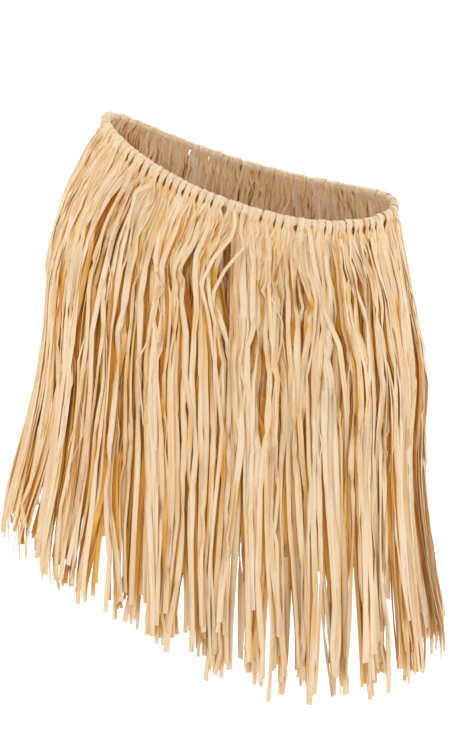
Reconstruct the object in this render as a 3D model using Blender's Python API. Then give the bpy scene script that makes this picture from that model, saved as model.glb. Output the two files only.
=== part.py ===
"""A raffia grass skirt, worn low on the hips: a wrapped waist cord and the strands that hang from it.

Metres, +Z up, the front towards -Y. The origin is the middle of the waist cord's ring, where the hips hold
it. Bearings go round the skirt counter-clockwise from above: 0 is the right (+X), 90 the back, 180 the left
and 270 the front. Each of the fringe's nodes is one hank: a short header strip just under the cord, with its
strands fused into it.
"""

import math

import bmesh
import bpy
import numpy as np

MM = 0.001

# Waist cord: a round core wrapped by the folded heads of the strands, following the hips.
BAND_HALF_WIDTH = 0.143
BAND_HALF_DEPTH = 0.105
BAND_SQUARENESS = 0.90  # power on the cosine and sine; 1 is an ellipse
BAND_RISE_TO_LEFT = 0.042  # the raised hip
BAND_RISE_TO_BACK = 0.021
BAND_RISE_AT_SIDES = 0.0125  # it rides up over both hip bones
WRAP_RADIUS = 4.1 * MM
WRAP_COUNT = 120
GROOVE_SHARE = 0.82  # the cord's radius between two wraps, as a share of WRAP_RADIUS

# Header strips, under the cord and across its line.
SEAM_GAP = 0.35 * MM
BAND_LENGTH = 0.8  # near enough for turning the seam gap into a share of it
HEADER_HEIGHT = 5.0 * MM
HEADER_HALF_THICKNESS = 3.5 * MM
HANK_COUNT = 12
HANK_START = 0.04375  # share of the cord before the first hank; here the collision leaves the hollow open
HEADER_STEPS = 6

# Strands: folded ribbons with a flat back and a ridge, in four layers that fan out below the header.
STRANDS_IN_HANK = 20
HANK_FILLED = 0.95  # the share of a header's length that its roots are spread over
LAYER_ORDER = (0, 2, 1, 3)  # neighbours lie in different layers
LAYER_STEP = 4.1 * MM
ROOT_DEPTH = 3.0 * MM  # how far a root reaches up into its header
ROOT_BACKS = (-2.7 * MM, -0.2 * MM)  # where the two rows of roots lie across the header
FAN_OUT_SHARE = 0.20  # from here down the four layers lie their full step apart
STRAND_WIDTHS = (5.0 * MM, 8.2 * MM)  # at the header and at the hem
STRAND_RIDGES = (1.5 * MM, 1.8 * MM)
RIDGE_FULL_SHARE = 0.3
WIDTH_SPREAD = 0.22
ROOM_FILLED = 0.74  # the most of the way to its neighbour that a strand takes up
LENGTH_SPREAD = 0.04
LEAN_LENGTH = 0.035  # over this length a strand turns from square to the cord to straight down

# How far the strands drop below the cord. The skew takes some off at the front left and the back right.
DROP = {"right": 0.420, "back": 0.402, "left": 0.378, "front": 0.425}
DROP_SKEW = 0.008

# The innermost layer's distance outwards from the cord, at shares of the drop.
PROFILE_COLUMNS = ("share", "right", "back", "left", "front")
PROFILE_ROWS = (
    (0.00, 0.0000, 0.0000, 0.0000, 0.0000),
    (0.08, 0.0030, 0.0100, 0.0150, 0.0050),
    (0.20, 0.0095, 0.0280, 0.0350, 0.0145),
    (0.36, 0.0215, 0.0500, 0.0505, 0.0270),
    (0.56, 0.0195, 0.0580, 0.0585, 0.0315),
    (0.78, 0.0245, 0.0605, 0.0735, 0.0355),
    (1.00, 0.0360, 0.0660, 0.0925, 0.0400),
)

# Soft folds that run down the whole skirt: waves round it, how deep at the hem, and where they start.
FOLD_COLUMNS = ("waves", "depth", "start")
FOLD_ROWS = (
    (7, 0.0045, 40),
    (13, 0.0040, 155),
    (23, 0.0022, 290),
)
FOLDS_FULL_SHARE = 0.7

# Each layer's strands gather sideways into locks: waves round the skirt, swing in radians at the hem,
# how far the wave shifts from layer to layer, and where it starts.
GATHER_COLUMNS = ("waves", "swing", "shift", "start")
GATHER_ROWS = (
    (17, 0.018, 1.9, 0.6),
    (31, 0.006, 2.6, 0.0),
)
GATHER_POWER = 1.5

# They also sway a little on the way down, again differently in each layer.
SWAY_WAVES = 8
SWAY_SWING = 0.012
SWAY_DOWN = 6.5
SWAY_SHIFT = 2.1
SWAY_FULL_SHARE = 0.35

# Places where the strands part: bearing, the share of the drop where it opens, and its width at the hem.
PARTING_COLUMNS = ("bearing", "opens", "width")
PARTING_ROWS = (
    (203, 0.62, 0.013),
    (226, 0.70, 0.014),
    (238, 0.50, 0.011),
    (250, 0.72, 0.012),
    (267, 0.50, 0.018),
    (274, 0.68, 0.012),
    (282, 0.48, 0.012),
    (291, 0.42, 0.014),
    (302, 0.55, 0.018),
    (318, 0.60, 0.015),
    (341, 0.66, 0.012),
    (14, 0.60, 0.012),
    (43, 0.52, 0.014),
    (61, 0.66, 0.012),
    (82, 0.48, 0.015),
    (97, 0.63, 0.012),
    (118, 0.55, 0.016),
    (139, 0.68, 0.012),
    (164, 0.58, 0.014),
)
PARTING_REACH = 0.028
HEM_RADIUS = 0.19  # turns a width along the hem into an angle

SMALL_ANGLE = 0.01  # for slopes taken by differences
LINE_STEPS = 2880  # for measuring along the cord
GOLDEN_SHARE = 0.618034  # multiples of it never repeat, so neighbours differ
VARIED_START = 0.37

RAFFIA = (0.79, 0.62, 0.40, 1.0)
RAFFIA_WRAPPED = (0.83, 0.68, 0.47, 1.0)


def table(columns, rows):
    """The rows' values as one array for each named column."""
    return dict(zip(columns, np.array(rows, float).T))


PROFILE = table(PROFILE_COLUMNS, PROFILE_ROWS)
FOLDS = table(FOLD_COLUMNS, FOLD_ROWS)
GATHERS = table(GATHER_COLUMNS, GATHER_ROWS)
PARTINGS = table(PARTING_COLUMNS, PARTING_ROWS)


def eased(value):
    """0 below 0, 1 above 1, and a smooth step in between."""
    value = np.clip(value, 0.0, 1.0)
    return value * value * (3 - 2 * value)


def around(angle, at):
    """A value known on the four sides of the skirt, blended for any angle."""
    side = np.where(np.cos(angle) > 0, at["right"], at["left"])
    face = np.where(np.sin(angle) > 0, at["back"], at["front"])
    return side * np.cos(angle) ** 2 + face * np.sin(angle) ** 2


def band_line(angle):
    """Points on the waist cord's centre line."""
    cosine, sine = np.cos(angle), np.sin(angle)
    across = np.sign(cosine) * np.abs(cosine) ** BAND_SQUARENESS
    along = np.sign(sine) * np.abs(sine) ** BAND_SQUARENESS
    rise = BAND_RISE_TO_BACK * along - BAND_RISE_TO_LEFT * across + BAND_RISE_AT_SIDES * np.cos(2 * angle)
    return np.stack([BAND_HALF_WIDTH * across, BAND_HALF_DEPTH * along, rise], -1)


def band_frame(angle):
    """At each angle: how far the cord moves per radian, its level outward direction, and square down."""
    ahead = (band_line(angle + SMALL_ANGLE) - band_line(angle - SMALL_ANGLE)) / (2 * SMALL_ANGLE)
    outward = np.stack([ahead[..., 1], -ahead[..., 0], np.zeros_like(angle)], -1)
    outward /= np.linalg.norm(outward, axis=-1, keepdims=True)
    down = np.cross(ahead, outward)
    down /= np.linalg.norm(down, axis=-1, keepdims=True)
    return ahead, outward, down


def angles_at(run):
    """The angles reached after these shares of the cord's whole length, which may run on past 1."""
    fine = np.linspace(0, 2 * math.pi, LINE_STEPS + 1)
    steps = np.linalg.norm(np.diff(band_line(fine), axis=0), axis=1)
    length = np.concatenate([[0], np.cumsum(steps)])
    turns, rest = np.divmod(run, 1)
    return 2 * math.pi * turns + np.interp(rest, length / length[-1], fine)


def varied(index, turn):
    """A number from -1 to 1 that differs from strand to strand."""
    return 2 * np.modf((index * GOLDEN_SHARE + VARIED_START) * turn)[0] - 1


def drop_at(angle):
    """How far down the hem lies."""
    return around(angle, DROP) - DROP_SKEW * np.sin(2 * angle)


def profile_at(angle, share):
    """How far the innermost layer hangs outwards of the cord."""
    sides = {side: np.interp(share, PROFILE["share"], PROFILE[side]) for side in DROP}
    return around(angle, sides)


def folds_at(angle, share):
    """The soft folds' height above the profile."""
    phase = np.radians(FOLDS["start"])
    waves = FOLDS["depth"] * np.sin(FOLDS["waves"] * angle[..., None] + phase)
    return eased(share / FOLDS_FULL_SHARE) * waves.sum(-1)


def leaned(angle, share):
    """Strands leave the cord square to it and then turn to hang, so they drift towards its higher side."""
    ahead, _, _ = band_frame(angle)
    speed = np.linalg.norm(ahead[..., :2], axis=-1)
    slope = ahead[..., 2] / speed
    turned = 1 - np.exp(-share * drop_at(angle) / LEAN_LENGTH)
    return angle + slope * LEAN_LENGTH * turned / speed


def parted(angle, share):
    """Strands next to a parting move away from it, less the further off they are."""
    away = (angle[..., None] - np.radians(PARTINGS["bearing"]) + math.pi) % (2 * math.pi) - math.pi
    opened = eased((share[..., None] - PARTINGS["opens"]) / (1 - PARTINGS["opens"]))
    push = PARTINGS["width"] / 2 / HEM_RADIUS * opened * np.exp(-np.abs(away) * HEM_RADIUS / PARTING_REACH)
    return angle + (np.sign(away) * push).sum(-1)


def bunched(angle, share, layer):
    """Each layer gathers into its own locks on the way down and sways a little."""
    around_it, for_layer = angle[..., None], np.asarray(layer)[..., None]
    phase = GATHERS["waves"] * around_it + GATHERS["shift"] * for_layer + GATHERS["start"]
    gather = (GATHERS["swing"] * np.sin(phase)).sum(-1)
    sway = SWAY_SWING * np.sin(SWAY_WAVES * angle + SWAY_DOWN * share + SWAY_SHIFT * layer)
    return angle + share**GATHER_POWER * gather + eased(share / SWAY_FULL_SHARE) * sway


def hanging(angle, share, layer, lift):
    """Points of strands rooted at these angles, at these shares of the drop, lift outwards of the wall."""
    now = bunched(parted(leaned(angle, share), share), share, layer)
    _, outward, _ = band_frame(now)
    point = band_line(now) + outward * (profile_at(now, share) + folds_at(now, share) + lift)[..., None]
    point[..., 2] = band_line(angle)[..., 2] - share * drop_at(angle)
    return point


def strand_sections():
    """The three corners of every strand's section at every station, as strand, station, corner, xyz."""
    count = HANK_COUNT * STRANDS_IN_HANK
    index = np.arange(count)
    layer = np.array(LAYER_ORDER)[index % len(LAYER_ORDER)][:, None]
    hank, place = np.divmod(index, STRANDS_IN_HANK)
    in_hank = 0.5 + HANK_FILLED * ((place + 0.5) / STRANDS_IN_HANK - 0.5)
    root = angles_at((hank + in_hank) / HANK_COUNT + HANK_START)[:, None]
    longer = 1 + LENGTH_SPREAD * varied(index, 1)[:, None]
    share = PROFILE["share"] * longer
    root = np.broadcast_to(root, share.shape)
    root_back = np.where(layer < 2, *ROOT_BACKS)
    lift = root_back + (layer * LAYER_STEP - root_back) * eased(share / FAN_OUT_SHARE)
    back = hanging(root, share, layer, lift)
    lateral = hanging(root + SMALL_ANGLE, share, layer, lift)
    lateral -= hanging(root - SMALL_ANGLE, share, layer, lift)

    _, outward, down = band_frame(root[:, 0])
    root_down = WRAP_RADIUS + SEAM_GAP + HEADER_HEIGHT - ROOT_DEPTH
    back[:, 0] = band_line(root[:, 0]) + outward * root_back + down * root_down

    lateral /= np.linalg.norm(lateral, axis=-1, keepdims=True)
    heading = np.gradient(back, axis=1)
    ridge_way = np.cross(heading, lateral)
    ridge_way /= np.linalg.norm(ridge_way, axis=-1, keepdims=True)

    step = len(LAYER_ORDER)
    room = np.linalg.norm(np.roll(back, -step, axis=0) - back, axis=-1)
    room = ROOM_FILLED * np.minimum(room, np.roll(room, step, axis=0))
    usual = np.interp(PROFILE["share"], (0, 1), STRAND_WIDTHS)
    wanted = (1 + WIDTH_SPREAD * varied(index, 2)[:, None]) * usual
    width = np.minimum(wanted, room)[..., None]
    ridge = np.interp(PROFILE["share"], (0, RIDGE_FULL_SHARE), STRAND_RIDGES)[None, :, None]
    return np.stack([back - lateral * width / 2, back + lateral * width / 2, back + ridge_way * ridge], 2)


def loft(mesh, sections):
    """Adds one closed body to a bmesh: quads between sections of equal count, and a face at each end."""
    rings = [[mesh.verts.new(corner) for corner in section] for section in sections]
    for above, below in zip(rings, rings[1:]):
        for k in range(len(above)):
            mesh.faces.new((above[k - 1], above[k], below[k], below[k - 1]))
    mesh.faces.new(rings[0])
    mesh.faces.new(rings[-1])


def object_from(name, bodies, material, collection):
    """One mesh object that holds a closed body for each list of sections."""
    shape = bmesh.new()
    for sections in bodies:
        loft(shape, sections)
    bmesh.ops.recalc_face_normals(shape, faces=shape.faces)
    mesh = bpy.data.meshes.new(name)
    shape.to_mesh(mesh)
    shape.free()
    mesh.materials.append(material)
    made = bpy.data.objects.new(name, mesh)
    collection.objects.link(made)
    return made


def header_sections(angle):
    """A header strip's rectangular sections at these angles."""
    _, outward, down = band_frame(angle)
    top = WRAP_RADIUS + SEAM_GAP
    corners = ((-1, top), (1, top), (1, top + HEADER_HEIGHT), (-1, top + HEADER_HEIGHT))
    centre, across = band_line(angle), outward * HEADER_HALF_THICKNESS
    return np.stack([centre + across * side + down * drop for side, drop in corners], 1)


def make_hank(number, sections, material, collection, helpers):
    """A header strip with its strands joined on; returns the strip's object."""
    name = f"hank_{number + 1:02d}"
    strands = object_from(f"{name}_strands", sections, material, helpers)
    strands.hide_render = True
    strands.display_type = "WIRE"

    run = np.linspace(number, number + 1, HEADER_STEPS + 1) / HANK_COUNT + HANK_START
    run[[0, -1]] += np.array([1, -1]) * SEAM_GAP / 2 / BAND_LENGTH
    hank = object_from(name, [header_sections(angles_at(run))], material, collection)
    join = hank.modifiers.new("strands", "BOOLEAN")
    join.operation = "UNION"
    join.solver = "EXACT"
    join.object = strands
    return hank


def make_waist_cord(material, collection):
    """The cord as a closed curve whose thickness swells at each wrap."""
    data = bpy.data.curves.new("waist_cord", "CURVE")
    data.dimensions = "3D"
    data.bevel_depth = WRAP_RADIUS
    data.bevel_resolution = 1
    line = data.splines.new("POLY")
    places = band_line(angles_at(np.arange(2 * WRAP_COUNT) / (2 * WRAP_COUNT)))
    line.points.add(len(places) - 1)
    line.use_cyclic_u = True
    for k, (point, place) in enumerate(zip(line.points, places)):
        point.co = (*place, 1)
        point.radius = GROOVE_SHARE if k % 2 else 1
    data.materials.append(material)
    cord = bpy.data.objects.new("waist_cord", data)
    collection.objects.link(cord)
    return cord


def make_material(name, colour, roughness):
    material = bpy.data.materials.new(name)
    material.use_nodes = True
    shader = material.node_tree.nodes["Principled BSDF"]
    shader.inputs["Base Color"].default_value = colour
    shader.inputs["Roughness"].default_value = roughness
    shader.inputs["Metallic"].default_value = 0
    return material


def make_collection(name):
    collection = bpy.data.collections.new(name)
    bpy.context.scene.collection.children.link(collection)
    return collection


def main():
    for old in list(bpy.data.objects):
        bpy.data.objects.remove(old)
    skirt = make_collection("grass_skirt")
    helpers = make_collection("strands_before_joining")
    make_waist_cord(make_material("wrapped raffia", RAFFIA_WRAPPED, 0.65), skirt)
    raffia = make_material("raffia", RAFFIA, 0.6)
    sections = strand_sections().reshape(HANK_COUNT, STRANDS_IN_HANK, len(PROFILE["share"]), 3, 3)
    for number, strands in enumerate(sections):
        make_hank(number, strands, raffia, skirt, helpers)


main()
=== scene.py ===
import math

import bpy
import numpy as np
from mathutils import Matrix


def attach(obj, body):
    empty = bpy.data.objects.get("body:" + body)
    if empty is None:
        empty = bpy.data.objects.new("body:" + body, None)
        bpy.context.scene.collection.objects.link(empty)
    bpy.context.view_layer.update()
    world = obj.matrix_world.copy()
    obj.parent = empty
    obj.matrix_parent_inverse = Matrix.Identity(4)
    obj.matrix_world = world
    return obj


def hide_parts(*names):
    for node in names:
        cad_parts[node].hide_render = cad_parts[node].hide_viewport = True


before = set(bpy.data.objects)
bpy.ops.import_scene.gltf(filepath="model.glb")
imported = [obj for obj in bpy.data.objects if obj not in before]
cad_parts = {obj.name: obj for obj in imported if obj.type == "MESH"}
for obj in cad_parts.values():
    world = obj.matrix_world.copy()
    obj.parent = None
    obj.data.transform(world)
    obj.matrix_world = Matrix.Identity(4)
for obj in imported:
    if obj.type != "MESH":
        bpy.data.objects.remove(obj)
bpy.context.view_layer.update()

# The skirt's own flow, with the same sizes as its solids: metres, and bearings in
# degrees counter-clockwise from above, 0 right, 90 back, 180 left and 270 front.
skirt = {
    "halfWidth": 0.143, "halfDepth": 0.105, "squareness": 0.90,
    "riseToLeft": 0.042, "riseToBack": 0.021, "riseAtSides": 0.0125,
    "hanks": 12, "strandsInHank": 20, "hankStart": 0.04375,
    "drop": {"right": 0.420, "back": 0.402, "left": 0.378, "front": 0.425}, "dropSkew": 0.008,
    "lengthSpread": 0.04, "leanLength": 0.035,
    "layerOrder": (0, 2, 1, 3), "layerStep": 0.0041, "fanOutShare": 0.20,
    "profileColumns": ("share", "right", "back", "left", "front"),
    "profile": (
        (0.00, 0.0000, 0.0000, 0.0000, 0.0000),
        (0.08, 0.0030, 0.0100, 0.0150, 0.0050),
        (0.20, 0.0095, 0.0280, 0.0350, 0.0145),
        (0.36, 0.0215, 0.0500, 0.0505, 0.0270),
        (0.56, 0.0195, 0.0580, 0.0585, 0.0315),
        (0.78, 0.0245, 0.0605, 0.0735, 0.0355),
        (1.00, 0.0360, 0.0660, 0.0925, 0.0400),
    ),
    "foldColumns": ("waves", "depth", "start"),
    "folds": ((7, 0.0045, 40), (13, 0.0040, 155), (23, 0.0022, 290)),
    "foldsFullShare": 0.7,
    "lockColumns": ("waves", "swing", "shift", "start"),
    "locks": ((17, 0.018, 1.9, 0.6), (31, 0.006, 2.6, 0.0)),
    "lockPower": 1.5,
    "swayWaves": 8, "swaySwing": 0.012, "swayDown": 6.5, "swayShift": 2.1, "swayFullShare": 0.35,
    "partingColumns": ("bearing", "opens", "width"),
    "partings": (
        (203, 0.62, 0.013), (226, 0.70, 0.014), (238, 0.50, 0.011), (250, 0.72, 0.012),
        (267, 0.50, 0.018), (274, 0.68, 0.012), (282, 0.48, 0.012), (291, 0.42, 0.014),
        (302, 0.55, 0.018), (318, 0.60, 0.015), (341, 0.66, 0.012), (14, 0.60, 0.012),
        (43, 0.52, 0.014), (61, 0.66, 0.012), (82, 0.48, 0.015), (97, 0.63, 0.012),
        (118, 0.55, 0.016), (139, 0.68, 0.012), (164, 0.58, 0.014),
    ),
    "partingReach": 0.028, "hemRadius": 0.19,
}


def columns(names, rows):
    # a table's rows as one array for each named column
    return dict(zip(names, np.array(rows, float).T))


profile = columns(skirt["profileColumns"], skirt["profile"])
folds = columns(skirt["foldColumns"], skirt["folds"])
strandLocks = columns(skirt["lockColumns"], skirt["locks"])
partings = columns(skirt["partingColumns"], skirt["partings"])


def eased(value):
    # smooth step: flat at 0, flat at 1, three times the square less twice the cube between
    value = np.clip(value, 0, 1)
    return value * value * (3 - 2 * value)


def unit(vectors):
    # each vector over its own length
    return vectors / np.maximum(np.linalg.norm(vectors, axis=-1, keepdims=True), 1e-12)


def around(angle, at):
    # side value times cosine squared plus front or back value times sine squared
    side = np.where(np.cos(angle) > 0, at["right"], at["left"])
    face = np.where(np.sin(angle) > 0, at["back"], at["front"])
    return side * np.cos(angle) ** 2 + face * np.sin(angle) ** 2


def smoothThrough(at, places, values):
    # cubic through a table's rows, each row's slope taken from its neighbours
    slopes = np.gradient(values, places)
    at = np.clip(at, places[0], places[-1])
    row = np.clip(np.searchsorted(places, at) - 1, 0, len(places) - 2)
    step = places[row + 1] - places[row]
    t = (at - places[row]) / step
    rising = t * t * (3 - 2 * t)
    bend = t * (1 - t) * ((1 - t) * slopes[row] - t * slopes[row + 1]) * step
    return values[row] * (1 - rising) + values[row + 1] * rising + bend


def bandLine(angle):
    # centre line of the waist cord: an ellipse squared off by a power, raised to the left and
    # back, and at the sides by a cosine of twice the angle
    cosine, sine = np.cos(angle), np.sin(angle)
    across = np.sign(cosine) * np.abs(cosine) ** skirt["squareness"]
    along = np.sign(sine) * np.abs(sine) ** skirt["squareness"]
    tilt = skirt["riseToBack"] * along - skirt["riseToLeft"] * across
    rise = tilt + skirt["riseAtSides"] * np.cos(2 * angle)
    return np.stack([skirt["halfWidth"] * across, skirt["halfDepth"] * along, rise], -1)


def bandFrame(angle):
    # the cord's run per radian, its level outward direction, and square down from it
    small = 0.01
    ahead = (bandLine(angle + small) - bandLine(angle - small)) / (2 * small)
    outward = unit(np.stack([ahead[..., 1], -ahead[..., 0], np.zeros_like(angle)], -1))
    return ahead, outward, unit(np.cross(ahead, outward))


# the cord's length up to each eighth of a degree
fineAngle = np.linspace(0, 2 * math.pi, 360 * 8 + 1)
fineStep = np.linalg.norm(np.diff(bandLine(fineAngle), axis=0), axis=1)
fineLength = np.concatenate([[0], np.cumsum(fineStep)])
cordLength = fineLength[-1]


def anglesAt(run):
    # the bearing reached after a share of the cord's length
    turns, rest = np.divmod(run, 1)
    return 2 * math.pi * turns + np.interp(rest, fineLength / cordLength, fineAngle)


def varied(index, turn):
    # golden-share number from -1 to 1, the same one that sets each solid strand's length
    return 2 * np.modf((index * 0.618034 + 0.37) * turn)[0] - 1


def dropAt(angle):
    # how far the fringe hangs: its value at each side, less by a sine of twice the angle
    return around(angle, skirt["drop"]) - skirt["dropSkew"] * np.sin(2 * angle)


def wallAt(angle, share):
    # how far the fringe hangs outwards of the cord, with its soft folds added as sine waves
    sides = {side: smoothThrough(share, profile["share"], profile[side]) for side in skirt["drop"]}
    waves = folds["depth"] * np.sin(folds["waves"] * angle[..., None] + np.radians(folds["start"]))
    return around(angle, sides) + eased(share / skirt["foldsFullShare"]) * waves.sum(-1)


def leaned(angle, share):
    # the raffia leaves a sloping cord square to it, then turns to hang plumb
    ahead = bandFrame(angle)[0]
    speed = np.linalg.norm(ahead[..., :2], axis=-1)
    turned = 1 - np.exp(-share * dropAt(angle) / skirt["leanLength"])
    return angle + ahead[..., 2] / speed * skirt["leanLength"] * turned / speed


def awayFrom(bearings, angle):
    # how far each place has turned from each bearing, by the shorter way round
    return (angle[..., None] - np.radians(bearings) + math.pi) % (2 * math.pi) - math.pi


def nearness(away):
    # 1 at a parting or crease, and less by an exponential of the distance from it along the hem
    return np.exp(-np.abs(away) * skirt["hemRadius"] / skirt["partingReach"])


def partedBy(hemAngle, share, wider):
    # how far a parting turns a ribbon away from it: half its width times its nearness, and growing
    # by a smooth step from where the parting opens
    away = awayFrom(partings["bearing"], hemAngle)
    opened = eased((share[..., None] - partings["opens"]) / (1 - partings["opens"]))
    push = wider * partings["width"] / 2 / skirt["hemRadius"] * opened * nearness(away)
    return (np.sign(away) * push).sum(-1)


def lockSwing(locks, angle, layer):
    # neighbours draw together in locks: sine waves of the angle, shifted from layer to layer
    phase = locks["waves"] * angle[..., None] + locks["shift"] * layer[..., None] + locks["start"]
    return (locks["swing"] * np.sin(phase)).sum(-1)


# The ribbons: lengths in metres, turns in radians unless a note says degrees.
ribbonCut = {
    "seed": 400, "perStrand": 4,  # ribbons for each solid strand
    "wrapStations": 7, "stations": 43,  # points along a ribbon: round the cord, and hanging
    "stationPower": 1.20,  # they stand closer near the cord
    "stationJitter": 0.30,
    "startDown": 0.0022,  # it leaves the cord this far under its centre line
    "widths": (0.0045, 0.0080),  # cut width, opened flat
    "taper": 0.20,  # share of the width that is gone at the tip
    "thickness": 0.00028,
    "sharpAbove": 15,  # degrees; sharper creases are drawn as hard lines
    "lengthSpread": 0.028, "shortShare": 0.12, "shortest": 0.12,
    "tipSlant": 0.28,
    # on the cord: degrees round it from its outer face, then lifts off its centre line
    "frontTurn": (150, -14), "backTurn": (40, 194),
    "cordLift": 0.0038, "frontOver": 0.0004, "bulgeStart": 0.12,
    "bandBumps": (0.00045, 0.00025),  # how far necks and single ribbons stand out
    "bumpLimits": (-0.0003, 0.0012),
    "bandWidth": 0.0036, "bandFold": 0.35,
    # the inner ribbons' painted shade stays as low as the band's down to here
    "backBandDown": 0.001,  # inner ribbons keep the band's pale colour to here
    "bandPull": 0.27,  # how much of its spread a ribbon keeps there
    # in the neck under the cord, where two strands' ribbons are drawn together
    "neckDown": 0.0062, "neckReach": 0.0026, "neckIn": 0.0060, "neckLift": 0.0017,
    "neckSpread": 0.018, "neckLength": 0.018, "neckShift": 0.30,
    "neckPull": 0.20, "neckPulls": (0.60, 1.60),  # how much of its spread a ribbon keeps there
    "neckWidth": 0.0027, "neckFold": 0.55, "neckVaries": (0.0, 1.15), "neckPower": 1.6,
    "backDrawn": 0.30, "backPull": 1.70,  # the inner ribbons are gathered less
    # hanging
    "spread": 0.98, "scatter": 0.20,  # shares of its room that its strand's ribbons take
    "openFolds": (0.15, 0.75), "foldSwing": 0.25,
    "kinks": 12, "kinkSide": 0.0031, "kinkOut": 0.0014, "kinkTwist": 0.36,
    "kinkFewer": 1.35,  # from this less the share: how likely a crease is
    "kinkApart": 0.021, "kinkLeast": 0.25,  # closer creases bend less, down to this share
    "kinkEases": (1.15, 0.45), "tipLoose": 0.95,  # they fade to the hem, and tips swing free
    "pinch": (0.10, 0.75), "pinchLength": 0.004,
    "subLift": 0.0009, "weave": 0.0010,
    "paces": (18, 46),  # slow waves down a ribbon, radians per metre
    "twist": 0.34, "twistWave": 0.22,
    "flipped": 0.12, "flipFrom": (0.15, 1.0), "flipLength": 0.10,  # some turn over on the way
    "locks": ((43, 0.0055, 2.3, 1.1), (67, 0.0040, 1.7, 4.0), (97, 0.0025, 0.9, 2.2)),
    "lockPower": 0.70,
    "partingWider": (0.55, 1.75),  # against the strands' own way round a parting
    "creasePeaks": (0.16, 0.40),
    "snug": 0.48, "snugFrom": 0.12, "snugTo": 0.60,  # layers lie closer on the hips in between
    "tone": (0.10, 0.16),  # mean and spread
    "patternRoom": 3.0,  # each ribbon is cut from its own place in these metres
}

# how each of a ribbon's three strips across its width leans, as a share of its fold
foldKinds = np.array((
    (1.00, -0.60, -0.60),  # valley near one edge
    (-0.60, -0.60, 1.00),  # ridge near the other
    (-1.00, 0.60, 0.60),
    (0.60, 0.60, -1.00),
    (-1.10, 0.00, 1.10),  # both edges turned back
    (1.10, 0.00, -1.10),  # both edges turned forward
    (1.00, -1.00, 1.00),  # pleated
    (0.20, -0.10, 0.15),  # nearly flat
))
foldOdds = np.array((0.14, 0.14, 0.14, 0.14, 0.16, 0.08, 0.12, 0.08))
ribbonLocks = columns(skirt["lockColumns"], ribbonCut["locks"])

# where the fringe opens and closes again above the hem; side is the one that gives way, or 0
creases = columns(("bearing", "side", "top", "foot", "width"), (
    (264, -1, 0.04, 0.34, 0.026), (252, -1, 0.10, 0.30, 0.014), (226, 0, 0.03, 0.16, 0.010),
    (214, -1, 0.05, 0.22, 0.010), (238, 1, 0.16, 0.42, 0.011), (272, 0, 0.26, 0.52, 0.010),
    (285, 1, 0.10, 0.34, 0.012), (297, 1, 0.22, 0.52, 0.016), (309, 1, 0.06, 0.30, 0.014),
    (330, 0, 0.06, 0.26, 0.011), (202, 0, 0.28, 0.50, 0.011), (188, -1, 0.12, 0.34, 0.010),
    (8, 1, 0.20, 0.46, 0.011), (22, -1, 0.10, 0.34, 0.012), (51, 0, 0.22, 0.50, 0.012),
    (74, 1, 0.06, 0.24, 0.012), (104, 0, 0.18, 0.44, 0.011), (128, -1, 0.30, 0.54, 0.014),
    (152, 1, 0.10, 0.30, 0.010),
))


def creasedBy(hemAngle, share, peak):
    # a crease opens and closes again above the hem: its width times a straight rise from its top to
    # its peak and a straight fall to its foot, times its nearness, shared between its two sides or
    # all on one
    through = np.clip((share[..., None] - creases["top"]) / (creases["foot"] - creases["top"]), 0, 1)
    risen = np.minimum(through / peak[..., None], (1 - through) / (1 - peak[..., None]))
    away = awayFrom(creases["bearing"], hemAngle)
    taken = (1 + np.sign(away) * creases["side"]) / 2
    push = creases["width"] / skirt["hemRadius"] * risen * nearness(away) * taken
    return (np.sign(away) * push).sum(-1)


def locked(angle, share, layer):
    # the strands' own locks and sway, which grow on the way down, and finer locks that pairs and
    # threes of ribbons make
    leaning = leaned(angle, share)
    gather = lockSwing(strandLocks, leaning, layer)
    swayPhase = skirt["swayWaves"] * leaning + skirt["swayDown"] * share + skirt["swayShift"] * layer
    sway = skirt["swaySwing"] * np.sin(swayPhase)
    bunched = leaning + share ** skirt["lockPower"] * gather
    bunched = bunched + eased(share / skirt["swayFullShare"]) * sway
    return bunched + share ** ribbonCut["lockPower"] * lockSwing(ribbonLocks, angle, layer)


def hangingPath(angle, share, layer, lift, slide, wider, peak):
    # a point of the wall, share of the drop below the cord, lifted off it and slid along it
    hemAngle = locked(angle[:, -1:], np.ones_like(angle[:, -1:]), layer[:, -1:])
    now = locked(angle, share, layer) + slide / skirt["hemRadius"]
    hemAngle = np.broadcast_to(hemAngle, share.shape)
    now = now + partedBy(hemAngle, share, wider[..., None]) + creasedBy(hemAngle, share, peak)
    outward = bandFrame(now)[1]
    point = bandLine(now) + outward * (wallAt(now, share) + lift)[..., None]
    point[..., 2] = bandLine(angle)[..., 2] - share * dropAt(angle)
    return point, outward


def kinkStations(rng, count, t):
    # which of its stations each ribbon is creased at, two at each end left out: drawn without
    # repeats, more of them near the cord, by giving each a random number raised to one over its weight
    key = rng.random((count, len(t) - 4)) ** (1 / (ribbonCut["kinkFewer"] - t[2:-2]))
    chosen = np.sort(np.argsort(-key, 1)[:, :ribbonCut["kinks"]], 1) + 2
    ends = np.broadcast_to([[0, len(t) - 1]], (count, 2))
    return np.concatenate([ends[:, :1], chosen, ends[:, 1:]], 1)


def throughKinks(values, places, distance):
    # straight runs from kink to kink: each adds its change of slope to all that lies past it
    slopes = np.diff(values, axis=1) / np.diff(places, axis=1)
    turns = np.concatenate([slopes[:, :1], np.diff(slopes, axis=1)], 1)
    past = np.maximum(distance[:, None] - places[:, :-1, None], 0)
    return values[:, :1] + (turns[..., None] * past).sum(1)


def snugAt(angle, share):
    # the layers lie closer on the hips: less by cosine squared, eased in below the cord and out
    # to the hem
    cut = ribbonCut
    onHips = np.cos(angle) ** 2 * eased(share / cut["snugFrom"])
    onHips = onHips * eased((1 - share) / (1 - cut["snugTo"]))
    return 1 - cut["snug"] * onHips


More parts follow.
